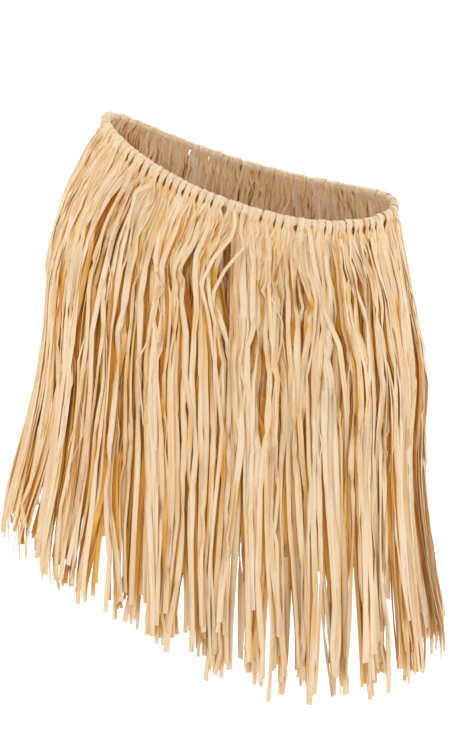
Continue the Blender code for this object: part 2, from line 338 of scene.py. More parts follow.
def overCord(angle, front, bump):
    # the part of a ribbon that lies on the cord: a point goes round it by cosine outwards and sine
    # upwards, to its outer face for the front ribbons and to its inner face for the others
    cut = ribbonCut
    s = np.linspace(0, 1, cut["wrapStations"])
    first, last = np.where(front[:, None], cut["frontTurn"], cut["backTurn"]).T[..., None]
    at = np.radians(first + (last - first) * s)
    bulge = np.sin(math.pi * (cut["bulgeStart"] + (1 - 2 * cut["bulgeStart"]) * s))
    radius = cut["cordLift"] + np.where(front, cut["frontOver"], 0)[:, None] + bulge * bump[:, None]
    outward, down = bandFrame(angle)[1:]
    way = outward * np.cos(at)[..., None] - down * np.sin(at)[..., None]
    before = -np.abs(np.radians(last - first)) * (1 - s) * radius
    return bandLine(angle) + way * radius[..., None], way, before, radius * np.cos(at)


def ribbonGrid(centre, facing, width, kind, fold, twist, thickness, slant):
    # Carries a folded strip along each path. Across it, three strips lean by the fold, so their
    # sines and cosines add up to the section; the front and back skins stand half a thickness off.
    heading = unit(np.gradient(centre, axis=1))
    side = unit(np.cross(heading, facing))
    face = np.cross(side, heading)
    cosT, sinT = np.cos(twist)[..., None], np.sin(twist)[..., None]
    side, face = side * cosT + face * sinT, face * cosT - side * sinT

    lean = foldKinds[kind][:, None] * fold[..., None]
    strips = lean.shape[-1]
    zero = np.zeros_like(lean[..., :1])
    strip = width[..., None] / strips
    across = np.concatenate([zero, np.cumsum(np.cos(lean) * strip, -1)], -1)
    depth = np.concatenate([zero, np.cumsum(np.sin(lean) * strip, -1)], -1)
    across = across - across[..., -1:] / 2
    depth = depth - depth.mean(-1, keepdims=True)
    leanAt = np.concatenate([lean[..., :1], (lean[..., :-1] + lean[..., 1:]) / 2, lean[..., -1:]], -1)
    offX, offY = -np.sin(leanAt) * thickness / 2, np.cos(leanAt) * thickness / 2

    ringX = np.concatenate([across + offX, (across - offX)[..., ::-1]], -1)
    ringY = np.concatenate([depth + offY, (depth - offY)[..., ::-1]], -1)
    grid = centre[:, :, None] + side[:, :, None] * ringX[..., None] + face[:, :, None] * ringY[..., None]
    grid[:, -1] += heading[:, -1, None] * (ringX[:, -1] * slant[:, None])[..., None]

    opened = (np.arange(strips + 1) - strips / 2) / strips * width[..., None]
    return grid, np.concatenate([opened, opened[..., ::-1]], -1)


def alongEdges(ring):
    # which points of a ribbon's section are on its two edges
    half = ring // 2
    edge = np.abs(np.arange(half) - (half - 1) / 2) > half / 2 - 1
    return np.concatenate([edge, edge])


def gridFaces(count, stations, ring):
    # quads between neighbouring rings of every ribbon, and a row of quads to close each end
    base = (np.arange(count) * stations * ring)[:, None, None]
    down = (np.arange(stations - 1) * ring)[None, :, None]
    k = np.arange(ring)[None, None]
    kNext = (k + 1) % ring
    corners = (base + down + k, base + down + kNext, base + down + ring + kNext, base + down + ring + k)
    sides = np.stack(np.broadcast_arrays(*corners), -1)
    # the back skin's quads start at another corner, so that both skins bend along one diagonal
    sides[:, :, ring // 2:] = np.roll(sides[:, :, ring // 2:], -1, -1)
    half = np.arange(ring // 2 - 1)
    cap = np.stack([half, half + 1, ring - 2 - half, ring - 1 - half], -1)
    ends = np.concatenate([cap[:, ::-1], cap + (stations - 1) * ring])
    ends = ends[None] + base
    return np.concatenate([sides.reshape(-1, 4), ends.reshape(-1, 4)])


def tubeFaces(rings, ring, closed):
    # quads from each ring to the next one, and from the last to the first where the tube is closed
    r, k = np.meshgrid(np.arange(rings if closed else rings - 1), np.arange(ring), indexing="ij")
    rNext, kNext = (r + 1) % rings, (k + 1) % ring
    corners = (r * ring + k, rNext * ring + k, rNext * ring + kNext, r * ring + kNext)
    return np.stack(corners, -1).reshape(-1, 4)


def placed(name, data):
    # one object at the origin
    made = bpy.data.objects.new(name, data)
    bpy.context.scene.collection.objects.link(made)
    return made


def meshFrom(name, points, faces, uv, material, sharpAbove, **values):
    # one mesh from whole arrays: points, quads, a UV in metres for each point, and named values
    mesh = bpy.data.meshes.new(name)
    mesh.vertices.add(len(points))
    mesh.vertices.foreach_set("co", np.ascontiguousarray(points, np.float32).ravel())
    mesh.loops.add(faces.size)
    mesh.loops.foreach_set("vertex_index", faces.astype(np.int32).ravel())
    mesh.polygons.add(len(faces))
    mesh.polygons.foreach_set("loop_start", np.arange(len(faces), dtype=np.int32) * 4)
    layer = mesh.uv_layers.new(name="metres")
    layer.data.foreach_set("uv", uv[faces.ravel()].astype(np.float32).ravel())
    for key, value in values.items():
        attribute = mesh.attributes.new(key, "FLOAT", "POINT")
        attribute.data.foreach_set("value", np.ascontiguousarray(value, np.float32).ravel())
    mesh.update(calc_edges=True)
    mesh.validate()
    mesh.shade_smooth()
    if sharpAbove:
        mesh.set_sharp_from_angle(angle=math.radians(sharpAbove))
    mesh.materials.append(material)
    return placed(name, mesh)


def linear(hexColour):
    # sRGB to linear: the low values divided, the rest raised to 2.4
    parts = [int(hexColour[k:k + 2], 16) / 255 for k in (1, 3, 5)]
    return tuple(c / 12.92 if c <= 0.04045 else ((c + 0.055) / 1.055) ** 2.4 for c in parts) + (1,)


def addNode(tree, kind, inputs=None, **settings):
    # adds one node: sets its own properties, then links each input to a socket or sets its value
    node = tree.nodes.new(kind)
    for key, value in settings.items():
        setattr(node, key, value)
    for key, value in (inputs or {}).items():
        if isinstance(value, bpy.types.NodeSocket):
            tree.links.new(value, node.inputs[key])
        else:
            node.inputs[key].default_value = value
    return node


# Raffia is the dried leaf of a palm, split into ribbons and folded along their length. It is
# pale and satin on the outside of a fold, with fibres every half millimetre, and it turns
# golden where light passes from ribbon to ribbon; here that golden light and the shade between
# ribbons are painted into its colour.
raffiaLook = {
    "pale": "#EAD5BB", "warm": "#E7CCA6", "tan": "#E0C090", "tonesAt": (0.35, 0.78125, 1.0),
    # painted golden shade, and a darker painted shade, mixed in by how far a point lies under its
    # neighbours
    "goldenShade": "#EEB04A", "goldenShadeFrom": (0.04, 0.42),  # shares of depth between which it comes in
    "shade": "#E9A038", "shadeFrom": (0.35, 0.80),
    # the fibres' own colour, and their colour in painted shade
    "fibre": "#D5A457", "deep": "#CD8832", "fibreFrom": (0.46, 0.70),
    # pleat lines are painted golden shade along folds too fine to model
    "pleatFrom": (0.54, 0.66), "pleatShadeShare": 0.29,
    # each pattern's millimetres across and along a ribbon, then its noise's detail and roughness
    "patterns": {
        "fibre": (0.55, 60.0, 3.0, 0.6),  # real fibres are half as wide, too fine to show
        "pleat": (1.5, 95.0, 1.0, 0.5),  # golden lines along the finest folds
        "blotch": (26.0 / 3, 26.0, 2.0, 0.5),
        "crimp": (7.8, 2.6, 2.0, 0.5),
    },
    "fibreDepth": 0.0004, "crimpDepth": 0.0008, "crimpShare": 0.6,
    "roughness": 0.68, "ior": 1.47, "sheen": 0.12, "sheenRoughness": 0.45,
}


def makeRaffia(name, fibreContrast, relief):
    # the patterns lie in the ribbon's own UV, and its painted golden shade, set by its depth under its
    # neighbours, comes in a point attribute
    look = raffiaLook
    material = bpy.data.materials.new(name)
    material.use_nodes = True
    tree = material.node_tree
    tree.nodes.clear()
    place = addNode(tree, "ShaderNodeUVMap", uv_map="metres").outputs["UV"]
    tone = addNode(tree, "ShaderNodeAttribute", attribute_name="tone").outputs["Fac"]
    # share of painted golden shade at each point
    inner = addNode(tree, "ShaderNodeAttribute", attribute_name="inner").outputs["Fac"]
    perMetre = 1000.0
    pattern = {}
    for key, (across, along, detail, roughness) in look["patterns"].items():
        scale = (perMetre / across, perMetre / along, 1)
        space = addNode(tree, "ShaderNodeMapping", {"Vector": place, "Scale": scale}).outputs[0]
        pattern[key] = addNode(tree, "ShaderNodeTexNoise", {
            "Vector": space, "Scale": 1.0, "Detail": detail, "Roughness": roughness}).outputs["Fac"]

    # pale to tan by each ribbon's own tone and in blotches along it
    toned = addNode(tree, "ShaderNodeMath", {0: pattern["blotch"], 1: tone}, operation="ADD").outputs[0]
    ramp = addNode(tree, "ShaderNodeValToRGB", {"Fac": toned})
    steps = ramp.color_ramp.elements
    steps[0].position, steps[0].color = look["tonesAt"][0], linear(look["pale"])
    steps[1].position, steps[1].color = look["tonesAt"][1], linear(look["warm"])
    steps.new(look["tonesAt"][2]).color = linear(look["tan"])

    # painted golden shade along fine pleats and between neighbours, then a darker painted shade where it
    # lies well under them
    pleatShade = addNode(tree, "ShaderNodeMapRange", {
        "Value": pattern["pleat"], "From Min": look["pleatFrom"][0], "From Max": look["pleatFrom"][1],
        "To Max": look["pleatShadeShare"]}, interpolation_type="SMOOTHSTEP").outputs[0]
    deepest = addNode(tree, "ShaderNodeMath", {0: inner, 1: pleatShade}, operation="MAXIMUM").outputs[0]
    colour = ramp.outputs["Color"]
    for depth, key in ((deepest, "goldenShade"), (inner, "shade")):
        first, last = look[key + "From"]
        share = addNode(tree, "ShaderNodeMapRange", {
            "Value": depth, "From Min": first, "From Max": last},
            interpolation_type="SMOOTHSTEP").outputs[0]
        colour = addNode(tree, "ShaderNodeMix", {"Factor": share, 6: colour, 7: linear(look[key])},
                         data_type="RGBA").outputs[2]
    fibreShare = addNode(tree, "ShaderNodeMapRange", {
        "Value": pattern["fibre"], "From Min": look["fibreFrom"][0], "From Max": look["fibreFrom"][1],
        "To Max": fibreContrast}).outputs[0]
    # fibres keep their own colour, and turn darker in painted shade where the ribbon lies under its
    # neighbours
    fibreAndShadeColour = addNode(tree, "ShaderNodeMix", {
        "Factor": inner, 6: linear(look["fibre"]), 7: linear(look["deep"])}, data_type="RGBA").outputs[2]
    colour = addNode(tree, "ShaderNodeMix", {"Factor": fibreShare, 6: colour, 7: fibreAndShadeColour},
                     data_type="RGBA").outputs[2]

    fibreBump = addNode(tree, "ShaderNodeBump", {
        "Height": pattern["fibre"], "Strength": relief, "Distance": look["fibreDepth"]}).outputs[0]
    crimpBump = addNode(tree, "ShaderNodeBump", {
        "Height": pattern["crimp"], "Normal": fibreBump,
        "Strength": relief * look["crimpShare"], "Distance": look["crimpDepth"]}).outputs[0]
    shader = addNode(tree, "ShaderNodeBsdfPrincipled", {
        "Base Color": colour, "Normal": crimpBump, "Roughness": look["roughness"], "IOR": look["ior"],
        "Sheen Weight": look["sheen"], "Sheen Roughness": look["sheenRoughness"]})
    addNode(tree, "ShaderNodeOutputMaterial", {"Surface": shader.outputs[0]})
    return material


# the wrapping is wound tight, so its fibres and crimps stand out more
raffiaRibbon = makeRaffia("raffia_ribbon", fibreContrast=0.42, relief=0.45)
raffiaWrapping = makeRaffia("raffia_wrapping", fibreContrast=0.50, relief=0.60)
print("materials ready")


def shapeHank(number):
    # Folded ribbons for each solid strand of the hank. Each lies over the cord, is drawn into its
    # neck under it and spreads from there, creased every few centimetres.
    cut = ribbonCut
    rng = np.random.default_rng(cut["seed"] + number)
    inHank = skirt["strandsInHank"]
    place = np.repeat(np.arange(inHank), cut["perStrand"])
    strand = number * inHank + place
    part = np.tile(np.arange(cut["perStrand"]) - (cut["perStrand"] - 1) / 2, inHank)
    count = len(strand)
    pairs = inHank // 2
    pair = place // 2        # two strands share a neck

    # where along the cord each ribbon hangs from, and its neck
    strands = skirt["hanks"] * inHank
    layer = np.array(skirt["layerOrder"], float)[strand % len(skirt["layerOrder"])]
    front = layer > 1        # the outer two layers
    room = len(skirt["layerOrder"]) / strands / cut["perStrand"]
    scatter = rng.normal(0, room * cut["scatter"], count)
    ownRun = (strand + 0.5) / strands + part * room * cut["spread"] + scatter
    neckShift = rng.normal(0, cut["neckShift"], pairs)[pair]
    neckRun = (2 * (strand // 2) + np.where(front, 1, 2) + neckShift) / strands
    ownRun, neckRun = ownRun + skirt["hankStart"], neckRun + skirt["hankStart"]

    # lengths, and the stations down each ribbon
    longer = 1 + skirt["lengthSpread"] * varied(strand, 1)
    longer = longer * (1 + rng.uniform(-1, 1, count) * cut["lengthSpread"])
    isShort = rng.random(count) < cut["shortShare"]
    longer = longer * np.where(isShort, 1 - rng.random(count) * cut["shortest"], 1)
    even = np.linspace(0, 1, cut["stations"])
    jitter = rng.uniform(-1, 1, (count, cut["stations"])) * cut["stationJitter"] / cut["stations"]
    jitter[:, [0, -1]] = 0
    t = (even + jitter) ** cut["stationPower"]
    drop = dropAt(anglesAt(ownRun))
    startShare = (cut["startDown"] / drop)[:, None]
    share = startShare + (longer[:, None] - startShare) * t
    distance = share * drop[:, None]

    # creases, and how far each slides and bulges the ribbon
    places = np.take_along_axis(distance, kinkStations(rng, count, even), 1)
    loose = np.maximum(cut["kinkEases"][0] - places / distance[:, -1:], cut["kinkEases"][1])
    loose[:, -1] = cut["tipLoose"]
    spreadOut = eased((distance - cut["neckDown"]) / cut["neckSpread"])
    gaps = np.diff(places, axis=1)
    after, before = np.concatenate([gaps, gaps[:, -1:]], 1), np.concatenate([gaps[:, :1], gaps], 1)
    loose = loose * np.clip(np.minimum(after, before) / cut["kinkApart"], cut["kinkLeast"], 1)
    slides = rng.normal(0, cut["kinkSide"], places.shape) * loose
    slide = spreadOut * throughKinks(slides, places, distance)
    bulges = rng.normal(0, cut["kinkOut"], places.shape) * loose
    bulge = spreadOut * throughKinks(bulges, places, distance)
    neckPull = cut["neckPull"] * rng.uniform(*cut["neckPulls"], (pairs, 1))[pair]
    neckPull = neckPull * np.where(front, 1, cut["backPull"])[:, None]
    pull = cut["bandPull"] + (neckPull - cut["bandPull"]) * eased(distance / cut["neckDown"])
    angle = anglesAt(neckRun[:, None] + (ownRun - neckRun)[:, None] * (pull + (1 - pull) * spreadOut))

    # lifts off the wall, from the cord through the neck to the layer
    wave = rng.uniform(0, 2 * math.pi, (3, count, 1))
    pace = rng.uniform(*cut["paces"], (3, count, 1))
    hanging = layer[:, None] * skirt["layerStep"] + cut["subLift"] * rng.uniform(-2, 2, (count, 1))
    hanging = hanging + cut["weave"] * np.sin(pace[0] * distance + wave[0]) + bulge
    hanging = hanging * snugAt(angle, share)
    facing = np.where(front, 1, -1)[:, None]
    neckLift = cut["neckLift"] * facing
    lift = neckLift + (hanging - neckLift) * eased(share / skirt["fanOutShare"])
    onCord = (cut["cordLift"] + np.where(front, cut["frontOver"], 0)[:, None]) * facing
    lift = lift + (onCord - neckLift) * (1 - eased((distance - cut["startDown"]) / cut["neckIn"]))
    layers = np.broadcast_to(layer[:, None], share.shape)
    wider = rng.uniform(*cut["partingWider"], (count, 1))
    peak = rng.uniform(*cut["creasePeaks"], (count, 1))
    centre, outward = hangingPath(angle, share, layers, lift, slide, wider, peak)

    # the turn over the cord goes before it
    wrapAngle = np.broadcast_to(angle[:, :1], (count, cut["wrapStations"]))
    bump = rng.normal(0, 1, pairs)[pair] * cut["bandBumps"][0]
    bump = bump + rng.normal(0, 1, count) * cut["bandBumps"][1]
    bump = np.clip(bump, *cut["bumpLimits"])
    wrapCentre, wrapWay, wrapDistance, wrapLift = overCord(wrapAngle, front, bump)
    centre = np.concatenate([wrapCentre, centre], 1)
    towards = np.concatenate([wrapWay, outward * facing[..., None]], 1)
    outward = np.concatenate([bandFrame(wrapAngle)[1], outward], 1)
    lift = np.concatenate([wrapLift, lift], 1)
    distance = np.concatenate([distance[:, :1] + wrapDistance, distance], 1)
    down = np.maximum(distance / distance[:, -1:], 0)

    # fold, twist and width along it
    opening = eased((distance - cut["startDown"]) / cut["neckLength"])
    nearest = np.abs(distance[:, None] - places[:, 1:-1, None]).min(1)
    pinch = rng.uniform(*cut["pinch"], (count, 1)) * np.exp(-(nearest / cut["pinchLength"]) ** 2)
    openFold = rng.uniform(*cut["openFolds"], (count, 1))
    openFold = openFold * (1 + cut["foldSwing"] * np.sin(pace[1] * distance + wave[1]))
    drawnIn = np.exp(-((distance - cut["neckDown"]) / cut["neckReach"]) ** 2)
    drawnIn = drawnIn * (rng.uniform(*cut["neckVaries"], (pairs, 1)) ** cut["neckPower"])[pair]
    drawnIn = drawnIn * np.where(front, 1, cut["backDrawn"])[:, None]
    fold = cut["bandFold"] + (openFold + pinch - cut["bandFold"]) * opening + cut["neckFold"] * drawnIn
    twist = rng.normal(0, cut["twist"], (count, 1))
    twist = twist + cut["twistWave"] * np.sin(pace[2] * distance + wave[2])
    twist = twist + throughKinks(rng.normal(0, cut["kinkTwist"], places.shape), places, distance)
    turned = distance / distance[:, -1:] - rng.uniform(*cut["flipFrom"], (count, 1))
    turned = np.where(rng.random((count, 1)) < cut["flipped"], turned, -1)
    twist = twist * opening + math.pi * eased(turned / cut["flipLength"])
    width = cut["bandWidth"] + (rng.uniform(*cut["widths"], (count, 1)) - cut["bandWidth"]) * opening
    width = width * (1 - cut["taper"] * down) - (cut["bandWidth"] - cut["neckWidth"]) * drawnIn
    kind = rng.choice(len(foldKinds), count, p=foldOdds)
    slant = rng.uniform(-1, 1, count) * cut["tipSlant"]
    grid, acrossAt = ribbonGrid(centre, towards, width, kind, fold, twist, cut["thickness"], slant)

    # what the materials and the painted golden shade read
    alongAt = np.broadcast_to(distance[..., None], acrossAt.shape)
    offset = rng.uniform(0, cut["patternRoom"], (2, count, 1, 1))
    height = lift[..., None] + ((grid - centre[:, :, None]) * outward[:, :, None]).sum(-1)
    half = grid.shape[2] // 2
    firstOut = (height[:, :, :half].mean(-1) > height[:, :, half:].mean(-1))[..., None]
    # on the band the painted shade stays low: to the neck for outer ribbons, a millimetre for inner ones
    bandEnd = np.where(front, cut["neckDown"], cut["backBandDown"])[:, None]
    return {
        "grid": grid, "height": height, "outerSkin": (np.arange(2 * half) < half) == firstOut,
        "onBand": 1 - eased((distance - cut["startDown"]) / bandEnd)[..., None],
        "uv": np.stack([acrossAt + offset[0], alongAt + offset[1]], -1),
        "tone": rng.normal(*cut["tone"], (count, 1, 1)) + np.zeros_like(acrossAt),
    }


# how far under its neighbours each point of the fringe lies, which sets the painted golden shade between
# ribbons
burialShade = {
    "cellAround": 0.0025, "cellDown": 0.005,  # radians, metres
    "top": 0.08, "cellsDown": 160,
    "reachAround": (-14, -9, -6, -4, -2, -1, 0, 1, 2, 4, 6, 9, 14), "reachDown": (-1, 0, 1),  # cells
    "finer": (4, 3),  # times down and across, so that no cell is missed
    # painted golden shade: starts at the slack, is whole at full, is capped at most, eases off between
    # the hem levels
    "slack": 0.0002, "full": 0.0052,  # metres: where golden light starts and is whole
    "gain": 1.6, "most": 0.86,
    "band": 0.05, "edge": 0.23,  # shares on the band, and added along ribbons' edges
    "hemLight": 0.70, "hemLevels": (-0.22, -0.44),  # light comes in from below between these levels
}


def fineGrid(values, down, across):
    # more points on each ribbon, by straight steps between its own
    t = np.arange(down)[:, None, None] / down
    more = values[:, :-1, None] * (1 - t) + values[:, 1:, None] * t
    more = more.reshape(len(values), -1, *values.shape[2:])
    t = np.arange(across)[:, None] / across
    return (more[:, :, :-1, None] * (1 - t) + more[:, :, 1:, None] * t).reshape(-1, 4)


def shadeFromBurial(shapes):
    # The fringe's greatest and least height off the wall are kept for each cell of bearing and
    # level. A point is buried by how far the cells beside it stand out past it, each up to a whole
    # share, averaged and eased. An inner face has to be covered from both sides, because light
    # comes through the outermost ribbons. The share it returns is each point's painted golden shade.
    cellsAround, cellsDown = int(2 * math.pi / burialShade["cellAround"]), burialShade["cellsDown"]
    ring = shapes[0]["grid"].shape[2]

    def cells(points):
        # the column and row of the cell that each point is in
        turn = np.arctan2(points[..., 1], points[..., 0]) % (2 * math.pi)
        column = (turn / (2 * math.pi) * cellsAround).astype(int) % cellsAround
        row = ((burialShade["top"] - points[..., 2]) / burialShade["cellDown"]).astype(int)
        return column, np.clip(row, 0, cellsDown - 1)

    greatest = np.full((cellsAround, cellsDown), -np.inf)
    least = np.full((cellsAround, cellsDown), np.inf)
    for shape in shapes:
        skin = np.concatenate([shape["grid"], shape["height"][..., None]], -1)[:, :, :ring // 2]
        fine = fineGrid(skin, *burialShade["finer"])
        at = cells(fine)
        np.maximum.at(greatest, at, fine[:, 3])
        np.minimum.at(least, at, fine[:, 3])
    beside = [(a, d) for a in burialShade["reachAround"] for d in burialShade["reachDown"]]
    shares = []
    for shape in shapes:
        column, row = cells(shape["grid"])
        height = shape["height"]
        total = np.zeros_like(height)
        for stepAround, stepDown in beside:
            at = (column + stepAround) % cellsAround, np.clip(row + stepDown, 0, cellsDown - 1)
            under, over = greatest[at] - height, height - least[at]
            past = np.where(shape["outerSkin"], under, np.minimum(under, over))
            total += np.clip((past - burialShade["slack"]) / burialShade["full"], 0, 1)
        total = total / len(beside)
        upper, lower = burialShade["hemLevels"]
        hemLight = burialShade["hemLight"] * eased((upper - shape["grid"][..., 2]) / (upper - lower))
        share = burialShade["most"] * eased(total * burialShade["gain"]) * (1 - hemLight)
        # the band keeps little painted shade, and each ribbon's edges get more painted golden shade
        share = share + (burialShade["band"] - share) * shape["onBand"]
        share = share + (1 - share) * burialShade["edge"] * alongEdges(ring) * (1 - shape["onBand"])
        shares.append(share)
    return shares


def makeHank(number, shape, hankShades):
    # one hank's ribbons as one piece, in the place of its solid
    grid = shape["grid"]
    piece = meshFrom(f"fringe_{number + 1:02d}", grid.reshape(-1, 3), gridFaces(*grid.shape[:3]),
                     shape["uv"].reshape(-1, 2), raffiaRibbon, ribbonCut["sharpAbove"],
                     tone=shape["tone"], inner=hankShades)
    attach(piece, "root")
    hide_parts(f"hank_{number + 1:02d}")
    return piece


shapes = [shapeHank(number) for number in range(skirt["hanks"])]
hankShades = shadeFromBurial(shapes)
print("buried share: mean", round(float(np.mean([b.mean() for b in hankShades])), 3))
fringe = [makeHank(number, shapes[number], hankShades[number]) for number in range(skirt["hanks"])]
quads = sum(len(piece.data.polygons) for piece in fringe)
print("fringe:", len(fringe), "hanks,", quads * 2, "triangles")


strays = {
    "seed": 91,
    # cut width, then points of bearing, share of the drop and height off the wall
    "placed": (
        (0.0050, ((232.9, 0.034, 0.0010), (231.4, 0.045, 0.0075), (228.8, 0.060, 0.011),
            (227.6, 0.072, 0.012), (226.8, 0.130, 0.0125), (226.0, 0.230, 0.008),
            (225.8, 0.330, 0.003))),
        (0.0017, ((238.2, 0.380, 0.011), (237.0, 0.410, 0.017), (234.6, 0.448, 0.019),
            (236.0, 0.500, 0.018), (236.6, 0.590, 0.012))),
        (0.0076, ((305.6, 0.520, 0.006), (305.4, 0.660, 0.016), (304.6, 0.820, 0.017),
            (303.8, 0.965, 0.016))),
        (0.0070, ((306.6, 0.520, 0.006), (306.9, 0.660, 0.017), (307.4, 0.820, 0.018),
            (307.2, 0.950, 0.016))),
        (0.0050, ((290.0, 0.004, 0.0028), (291.0, 0.090, 0.010), (293.5, 0.190, 0.015),
            (298.0, 0.262, 0.017), (300.0, 0.420, 0.012), (300.5, 0.560, 0.004))),
        (0.0038, ((265.0, 0.004, 0.0028), (265.4, 0.040, 0.009), (264.2, 0.072, 0.014),
            (259.0, 0.128, 0.017), (255.4, 0.190, 0.015), (254.6, 0.330, 0.005))),
        (0.0034, ((267.6, 0.004, 0.0028), (267.2, 0.052, 0.011), (268.0, 0.086, 0.015),
            (262.6, 0.146, 0.018), (259.0, 0.205, 0.014), (258.2, 0.340, 0.004))),
        (0.0050, ((185.0, 0.240, 0.004), (187.5, 0.330, 0.014), (186.0, 0.420, 0.013),
            (188.0, 0.540, 0.004))),
        (0.0054, ((31.0, 0.004, 0.0028), (28.5, 0.110, 0.013), (31.5, 0.240, 0.016),
            (30.0, 0.430, 0.005))),
        (0.0058, ((92.0, 0.004, 0.0028), (95.0, 0.100, 0.013), (90.5, 0.200, 0.017),
            (91.5, 0.360, 0.005))),
        (0.0052, ((143.0, 0.004, 0.0028), (146.0, 0.120, 0.013), (143.5, 0.260, 0.015),
            (145.0, 0.440, 0.005))),
    ),
    # split-off fibres: where they start down the drop, and how they lift off it at their kinks
    "loose": 46, "looseWidths": (0.0009, 0.0022), "looseTops": (0.06, 0.55),
    "looseLengths": (0.10, 0.40), "looseSwing": 0.020, "looseKinks": 5,
    "looseLift": 0.0125, "liftAtTop": 0.5, "liftsBetween": (0.9, 1.3), "liftAtTip": 0.8,
    "stations": 34, "fold": 0.35, "foldMean": 1.2, "foldPace": 7, "twist": 0.35, "twistPace": 5,
    "tone": (0.10, 0.10),  # mean and spread
}


def makeStrays():
    # Ribbons that lie over the others: straight runs through each one's points give its bearing,
    # share and height. The split-off fibres start at a random place and zigzag about their own line.
    cut = strays
    rng = np.random.default_rng(cut["seed"])
    t = np.linspace(0, 1, cut["stations"])
    rows, widths = [], []
    for width, points in cut["placed"]:
        points = np.array(points)
        at = np.linspace(0, 1, len(points))
        rows.append([np.interp(t, at, points[:, k]) for k in range(3)])
        widths.append(width)
    knots = np.linspace(0, 1, cut["looseKinks"])
    for _ in range(cut["loose"]):
        bearing, top = rng.uniform(0, 360), rng.uniform(*cut["looseTops"])
        length = rng.uniform(*cut["looseLengths"])
        swing = np.degrees(cut["looseSwing"]) * rng.normal(0, 1, cut["looseKinks"])
        between = rng.uniform(*cut["liftsBetween"], cut["looseKinks"] - 2)
        lift = cut["looseLift"] * np.concatenate([[cut["liftAtTop"]], between, [cut["liftAtTip"]]])
        rows.append([bearing + np.interp(t, knots, swing), top + length * t, np.interp(t, knots, lift)])
        widths.append(rng.uniform(*cut["looseWidths"]))
    bearing, share, lift = np.array(rows).transpose(1, 0, 2)
    angle, widths = np.radians(bearing), np.array(widths)
    outward = bandFrame(angle)[1]
    centre = bandLine(angle) + outward * (wallAt(angle, share) + lift * snugAt(angle, share))[..., None]
    centre[..., 2] = bandLine(angle)[..., 2] - share * dropAt(angle)
    count = len(widths)
    wave = rng.uniform(0, 2 * math.pi, (2, count, 1))
    fold = cut["fold"] * (cut["foldMean"] + np.sin(cut["foldPace"] * t + wave[0]))
    twist = cut["twist"] * np.sin(cut["twistPace"] * t + wave[1])
    anyKind = rng.choice(len(foldKinds), count, p=foldOdds)
    kind = np.where(np.arange(count) < len(cut["placed"]), len(foldKinds) - 1, anyKind)
    slant = rng.uniform(-1, 1, count) * ribbonCut["tipSlant"]
    width = np.broadcast_to(widths[:, None], share.shape)
    grid, acrossAt = ribbonGrid(centre, outward, width, kind, fold, twist, ribbonCut["thickness"], slant)
    step = np.linalg.norm(np.diff(centre, axis=1), axis=-1)
    along = np.concatenate([np.zeros((count, 1)), np.cumsum(step, 1)], 1)
    offset = rng.uniform(0, ribbonCut["patternRoom"], (count, 1, 1))
    uv = np.stack([acrossAt + offset, np.broadcast_to(along[..., None], acrossAt.shape)], -1)
    tone = rng.normal(*cut["tone"], (count, 1, 1)) + np.zeros_like(acrossAt)
    # painted golden shade along each stray's edges only
    edge = alongEdges(grid.shape[2]) * burialShade["edge"] + np.zeros_like(acrossAt)
    piece = meshFrom("stray_ribbons", grid.reshape(-1, 3), gridFaces(*grid.shape[:3]),
                     uv.reshape(-1, 2), raffiaRibbon, ribbonCut["sharpAbove"], tone=tone, inner=edge)
    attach(piece, "root")
    return piece


strayRibbons = makeStrays()
print("stray ribbons:", len(strayRibbons.data.polygons) * 2, "triangles")


cordWrap = {
    "core": 0.0036,  # the cord itself; the ribbons that lie over it bring it to its full size
    "seed": 77, "wraps": 120, "steps": 6, "around": 14,
    "uneven": 0.34,  # spread of the wraps' widths
    "fatness": 0.05, "fatLimits": (0.90, 1.06),
    "groove": 0.24,  # how deep the cord narrows between wraps, as a share of its radius
    "roundness": 0.36,  # power of the sine that rounds each wrap
    "lean": 0.13,  # how far a wrap tilts, as a share of a wrap's width
    "leanWaves": ((1.4, 11, 1), (1.2, 29, 0)),  # swing, waves round the cord, and start
    "leanTurn": 0.5,
    "creases": 0.050, "creaseMean": 0.6,
    "tone": (0.04, 0.07),  # mean and spread
    # painted golden shade on each wrap, and more in the grooves between wraps
    "wrapAndGrooveShades": (0.05, 0.25), "grooveShadePower": 1.5,  # on a wrap, and added in the groove
}


